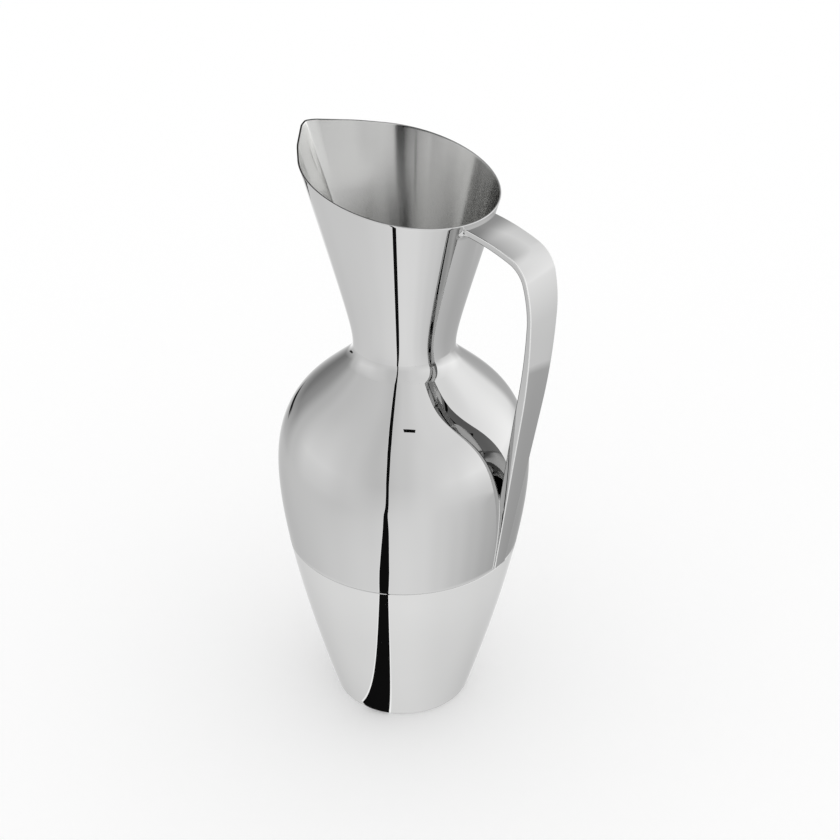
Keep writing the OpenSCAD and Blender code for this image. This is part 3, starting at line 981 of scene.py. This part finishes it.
# %% Finish the sleeve
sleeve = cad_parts["seam_sleeve"]
sleeve.data.materials.clear()
sleeve.data.materials.append(INNER)
print("seam sleeve keeps its", len(sleeve.data.polygons), "CAD faces")

# %% [markdown]
# ## The studio
# The photograph has a plain white ground. Here the ground is a white floor under an even, soft
# light, so the camera sees white with the pitcher's own soft shadow. Mirror steel shows more of
# the room than the camera does, so mirrored rays see it in more detail: a white table, a shade
# darker to the right where the pitcher stands in its own light, and beyond its edge a room with
# a bright screen on the right, a paler one on the left and a dark doorway behind on the left.
# Light Path tells the two kinds of ray apart, and what mirrored rays see depends on the place in
# the room, never on the camera.

# %% Levels of light by direction
CAMERA_SIDE = PHOTO_TURN - 90  # degrees from the spout round to the camera


def graded(tree, share, stops, interpolation="LINEAR"):
    """A level, up to 2, that changes along a share from 0 to 1. stops: (share, level)."""
    node = step_node(tree, "ShaderNodeValToRGB", {"Fac": share})
    ramp = node.color_ramp
    ramp.interpolation = interpolation
    for i, (spot, level) in enumerate(stops):
        stop = ramp.elements[i] if i < 2 else ramp.elements.new(1)
        stop.position = spot
        stop.color = (level / 2, level / 2, level / 2, 1)
    return Wire(tree, node.outputs[0]) * 2


def room_ramp(tree, x, y, levels):
    """A level by direction. levels: (degrees right of the camera, level), from -180 up."""
    share = (y.sum("ARCTAN2", x) / (2 * pi) + (1.5 - CAMERA_SIDE / 360)).sum("FRACT")
    return graded(tree, share, [(side / 360 + 0.5, level) for side, level in levels], "EASE")


def show(tree, shader, kind="Material"):
    """Ends a tree of shaders in its output."""
    plug(tree, shader, step_node(tree, "ShaderNodeOutput" + kind).inputs["Surface"])


# %% [markdown]
# The room is drawn in four heights, each from far left round to far right, and blended between
# them. A picture of a real room would do as well, but a few listed levels are easier to match to
# what the steel shows. Only mirrored rays see them, and all else sees plain white.

# %% The room round the pitcher
FOOT = ((-180, 1.35), (-165, 1.25), (-150, 0.92), (-120, 0.84), (-90, 0.82), (-60, 0.79),
        (-30, 0.84), (0, 0.94), (15, 0.96), (45, 0.86), (62, 0.79), (78, 0.76), (95, 0.9),
        (120, 0.92), (135, 0.72), (165, 0.76), (180, 1.35))
WALLS = ((-180, 0.4), (-160, 0.26), (-148, 0.28), (-135, 0.4), (-118, 0.72), (-95, 0.95),
         (-75, 0.95), (-50, 0.84), (-22, 0.73), (0, 0.83), (18, 0.92), (45, 1.02), (65, 1.15),
         (90, 1.24), (118, 1.33), (138, 1.18), (150, 0.66), (180, 0.4))
HIGH = ((-180, 0.25), (-160, 0.25), (-140, 0.35), (-120, 0.62), (-105, 0.74), (-75, 0.83),
        (-50, 0.81), (-28, 0.73), (0, 0.83), (20, 0.92), (60, 0.96), (90, 1.06), (115, 1.15),
        (140, 1.12), (157, 1.05), (166, 0.45), (180, 0.25))
CEILING = ((-180, 0.2), (-135, 0.25), (-105, 0.7), (-60, 0.78), (-28, 0.72), (0, 0.85),
           (40, 0.95), (75, 1.0), (110, 0.85), (140, 0.4), (160, 0.22), (180, 0.2))


def make_world():
    world = bpy.data.worlds.new("studio")
    bpy.context.scene.world = world
    world.use_nodes = True
    world.cycles.sampling_method = "NONE"
    tree = world.node_tree
    tree.nodes.clear()
    x, y, z = axes(wire_from(tree, "ShaderNodeTexCoord", output="Generated"))
    foot, walls, high, ceiling = (room_ramp(tree, x, y, levels)
                                  for levels in (FOOT, WALLS, HIGH, CEILING))
    seen = blend(walls, foot, rise(z * -1, 0.0, 0.5))
    seen = blend(seen, high, rise(z, 0.0, 0.6))
    seen = blend(seen, ceiling, rise(z, 0.6, 0.86))
    mirrored = wire_from(tree, "ShaderNodeLightPath", output="Is Glossy Ray")
    level = (seen - 1) * mirrored + 1
    show(tree, wire_from(tree, "ShaderNodeBackground",
                         {"Color": (1, 1, 1, 1), "Strength": level}), "World")
    print("studio room:", len(tree.nodes), "nodes")


make_world()

# %% [markdown]
# The floor is one disc. The camera and the soft light see plain white paint. Mirrored rays see the
# table's light: a paler round patch that the pitcher stands on, and the table round it out to its
# edge, where the floor lets them through to the room. To the left the far table is as light as the
# room's foot.

# %% The table's light
NEAR = ((-180, 0.9), (-120, 0.83), (-90, 0.83), (-60, 0.88), (-30, 0.92), (0, 0.99), (15, 0.96),
        (30, 0.88), (45, 0.79), (60, 0.7), (75, 0.62), (90, 0.58), (105, 0.55), (135, 0.57),
        (150, 0.62), (180, 0.9))
FAR = FOOT[:9] + ((30, 0.9), (45, 0.86), (60, 0.78), (75, 0.69), (105, 0.6), (135, 0.66),
                  (165, 0.76), (180, 1.35))
# half the width over which the table's edge fades, in metres
EDGE_BLUR = ((-180, 0.1), (60, 0.1), (82, 0.01), (118, 0.01), (140, 0.1), (180, 0.1))
# the paler patch, which lies a little further from the camera than the pitcher
PATCH = ((-180, 1.0), (-130, 0.99), (-75, 0.95), (-45, 0.94), (5, 0.98), (40, 0.93), (75, 0.93),
         (110, 0.99), (180, 1.0))
PATCH_R, PATCH_BACK, PATCH_BLUR = 130 * MM, 5.5 * MM, 1.5 * MM
TABLE_R = 370 * MM
SHADE_R, LIT_R = 30 * MM, 110 * MM  # the pitcher's own faint shade ends between these


def quiet_material(name):
    """A material with an empty tree, which is never used as a lamp."""
    material = bpy.data.materials.new(name)
    material.use_nodes = True
    material.cycles.emission_sampling = "NONE"
    material.node_tree.nodes.clear()
    return material


def glow(tree, level):
    """Plain white light at a level."""
    return wire_from(tree, "ShaderNodeEmission", {"Color": (1, 1, 1, 1), "Strength": level})


def mix(tree, share, first, second):
    """The first shader at share 0, the second at share 1."""
    node = step_node(tree, "ShaderNodeMixShader", {"Fac": share})
    plug(tree, first, node.inputs[1])
    plug(tree, second, node.inputs[2])
    return Wire(tree, node.outputs[0])


def ground_material():
    material = quiet_material("white ground")
    tree = material.node_tree
    x, y, _ = axes(wire_from(tree, "ShaderNodeTexCoord", output="Object"))
    away = radians(CAMERA_SIDE)
    patch_r = long_side(x + PATCH_BACK * cos(away), y + PATCH_BACK * sin(away))
    reach = long_side(x, y)
    table = blend(room_ramp(tree, x, y, NEAR), room_ramp(tree, x, y, FAR),
                  rise(reach, PATCH_R, TABLE_R))
    level = blend(room_ramp(tree, x, y, PATCH), table,
                  rise(patch_r, PATCH_R - PATCH_BLUR, PATCH_R + PATCH_BLUR))
    # the pitcher keeps a little light off the table round its base
    level = level * (rise(reach, SHADE_R, LIT_R) * 0.08 + 0.92)
    # the table's edge is only crisp on the right, where the screen stands behind it
    blur = room_ramp(tree, x, y, EDGE_BLUR)
    table_or_room = mix(tree, rise(reach - TABLE_R, blur * -1, blur), glow(tree, level),
                        wire_from(tree, "ShaderNodeBsdfTransparent"))
    paint = wire_from(tree, "ShaderNodeBsdfDiffuse", {"Color": (1, 1, 1, 1)})
    mirrored = wire_from(tree, "ShaderNodeLightPath", output="Is Glossy Ray")
    show(tree, mix(tree, mirrored, paint, table_or_room))
    return material


# %% [markdown]
# A disc of a few rings is enough for a flat floor. It reaches so far that the camera never sees
# its edge.

# %% The ground
FLOOR_RINGS, FLOOR_STEPS = (0.1, 0.2, 0.4, 0.8, 1.6, 3.0, 6.0), 48


def make_floor():
    points = [(r * cos(2 * pi * i / FLOOR_STEPS), r * sin(2 * pi * i / FLOOR_STEPS), 0)
              for r in FLOOR_RINGS for i in range(FLOOR_STEPS)]
    faces = [face[::-1] for face in strips(len(FLOOR_RINGS), FLOOR_STEPS)]
    mesh = bpy.data.meshes.new("floor")
    mesh.from_pydata(points, [], [tuple(range(FLOOR_STEPS))] + faces)
    mesh.materials.append(ground_material())
    floor = new_object("floor", mesh)
    print("floor:", len(mesh.polygons), "faces, pointing up:", mesh.polygons[-1].normal.z > 0)


make_floor()

# %% [markdown]
# The thin black line down the middle of the pitcher is the reflection of a dark strip that lies on
# the table towards the camera, rises and comes back over the top, with a narrow white hem down
# each side. A black line painted on the steel would stay still when the pitcher is turned, and a
# reflection doesn't. The strip is a card that is only there for the mirror: the camera and the
# soft light don't see it.

# %% The line of the dark strip
STRIP_HALF, HEM = 8.25, 1.1
STRIP_ACROSS = Vector((0.974, -0.228, 0))
# how much wider the strip is from the second point on: on the table, and where it has risen
WIDER_ON_TABLE, WIDER_ABOVE, RISEN = 0.32, 0.14, 150
# points of its middle line in the photograph's own axes: right, away and up, in millimetres
STRIP_ON_TABLE = [(-15, -31, 0.3), (-35, -116, 0.3), (-60, -240, 0.3), (-90, -360, 0.3),
                  (-102, -425, 2)]
STRIP_RISING = [(-107, -455, 12), (-108, -468, 39), (-107, -470, 105), (-98, -427, 187),
                (-90, -387, 263), (-85, -349, 336), (-80, -301, 397), (-74, -253, 443),
                (-68, -183, 500), (-64, -145, 517), (-61, -105, 524), (-55, -50, 526),
                (-49, 10, 522)]


def strip_line():
    """Places along a smooth curve through the strip's points, and half its width at each."""
    points = [Vector(p) for p in STRIP_ON_TABLE + STRIP_RISING]
    line = []
    for k, (a, b, c, d) in enumerate(zip(points[:1] + points, points, points[1:],
                                         points[2:] + points[-1:])):
        for i in range(8):
            t = i / 8
            place = 0.5 * (2 * b + (c - a) * t + (2 * a - 5 * b + 4 * c - d) * t * t
                           + (3 * b - a - 3 * c + d) * t**3)
            wider = WIDER_ON_TABLE + (WIDER_ABOVE - WIDER_ON_TABLE) * min(place.z / RISEN, 1)
            wider = 1 + wider * min(max((k + t - 1) * 5, 0), 1)
            line.append((place, STRIP_ACROSS * STRIP_HALF * wider))
    return line


print("strip:", len(strip_line()), "places along its line")

# %% [markdown]
# A card is a sheet of faces that is hidden from the camera, from soft light and from shadows. The
# strip is one card of black felt between two cards of white cloth.

# %% Cards for the mirror
def card(name, rows, material):
    """A card that only mirrors see, from rows of points in the photograph's own axes."""
    width = len(rows[0])
    mesh = bpy.data.meshes.new(name)
    mesh.from_pydata([TURN @ Vector(p) * MM for row in rows for p in row], [],
                     strips(len(rows), width, closed=False))
    mesh.materials.append(material)
    thing = new_object(name, mesh)
    thing.visible_camera = thing.visible_diffuse = thing.visible_shadow = False
    print("card", name, len(mesh.polygons), "faces")


def glow_material(name, level):
    material = quiet_material(name)
    show(material.node_tree, glow(material.node_tree, level))
    return material


FELT = glow_material("black felt", 0.006)


def make_strip():
    line = strip_line()
    card("dark_strip", [(p - side, p + side) for p, side in line], FELT)
    hem = glow_material("white hem", 1.2)
    for name, end in (("strip_hem_left", -1), ("strip_hem_right", 1)):
        card(name, [(p + side * end, p + (side + STRIP_ACROSS * HEM) * end) for p, side in line],
             hem)


make_strip()

# %% [markdown]
# Five more cards stand where only mirrored rays find them. A dark rail runs low behind the table
# on the left: it draws the thin black line low on the shoulder's left edge. The others are for the
# brushed steel inside the mouth, which shows a dark band and grows darker beside it: a dark arch
# over the mouth, a leaning post in front of its foot, a thin dark wing to its left and a white
# card under the wing. All four stand above the pitcher or well in front of it.

# %% The rail and the arch
# the rail: its distance from the axis, the way it stands in degrees right of the camera, and its
# bottom and top
RAIL_R, RAIL_SIDES, RAIL_HEIGHTS, RAIL_STEPS = 440, (-155, -135), (50, 90), 24
# (away, up) along the arch, and its left and right edges, at its foot and above
ARCH = ((-57, 303), (-57, 315), (-57, 328), (-55, 342), (-40, 366), (-10, 386), (30, 395),
        (80, 390), (130, 372))
ARCH_FOOT_TOP, FOOT_SIDES, ARCH_SIDES = 330, (-4.0, 15.0), (-7.0, 18.0)
# the post: (left, right, away, up) at its bottom and top
POST = ((-1.5, 24.0, -96, 280.3), (0.5, 27.5, -114, 301.9))
# (place across, how clear the felt is)
RAIL = ((-310, 1.0), (-285, 0.05), (-225, 0.0), (-190, 1.0))
WING = ((-90, 1.0), (-60, 0.55), (-25, 0.3), (-2.0, 0.0))
# (place across, how bright the card is)
CARD = ((-46, 1.1), (-30, 0.9), (-14, 0.6), (-2.0, 0.25))


def graded_material(name, across_stops, clear=False):
    """A card that changes across: its light, or how clear black felt is, at each place."""
    material = quiet_material(name)
    tree = material.node_tree
    x, y, _ = axes(wire_from(tree, "ShaderNodeTexCoord", output="Object"))
    across = x * TURN[0][0] + y * TURN[1][0]
    first, last = across_stops[0][0], across_stops[-1][0]
    level = graded(tree, rise(across, first * MM, last * MM),
                   [((spot - first) / (last - first), level) for spot, level in across_stops])
    show(tree, wire_from(tree, "ShaderNodeBsdfTransparent", {"Color": level}) if clear
         else glow(tree, level))
    return material


def between(ends, share):
    """A place between two ends."""
    return ends[0] + (ends[1] - ends[0]) * share


def make_rail_and_arch():
    rail = []
    for i in range(RAIL_STEPS + 1):
        w = radians(between(RAIL_SIDES, i / RAIL_STEPS))
        rail.append([(RAIL_R * sin(w), -RAIL_R * cos(w), z) for z in RAIL_HEIGHTS])
    card("back_rail", rail, graded_material("rail felt", RAIL, clear=True))
    card("mouth_post", [[(left, y, z), (right, y, z)] for left, right, y, z in POST], FELT)
    card("mouth_arch", [[(x, y, z) for x in (FOOT_SIDES if z < ARCH_FOOT_TOP else ARCH_SIDES)]
                        for y, z in ARCH], FELT)
    for name, part, stops, material in (
            ("mouth_wing", ARCH[2:7], WING, graded_material("thin felt", WING, clear=True)),
            ("mouth_card", ARCH[:3], CARD, graded_material("white card", CARD))):
        card(name, [[(stops[0][0], y, z), (stops[-1][0], y, z)] for y, z in part], material)


make_rail_and_arch()

# %% [markdown]
# ## Finish
# The render shows colours as they are written, so the view transform is plain.

# %% The view transform
bpy.context.scene.view_settings.view_transform = "Standard"
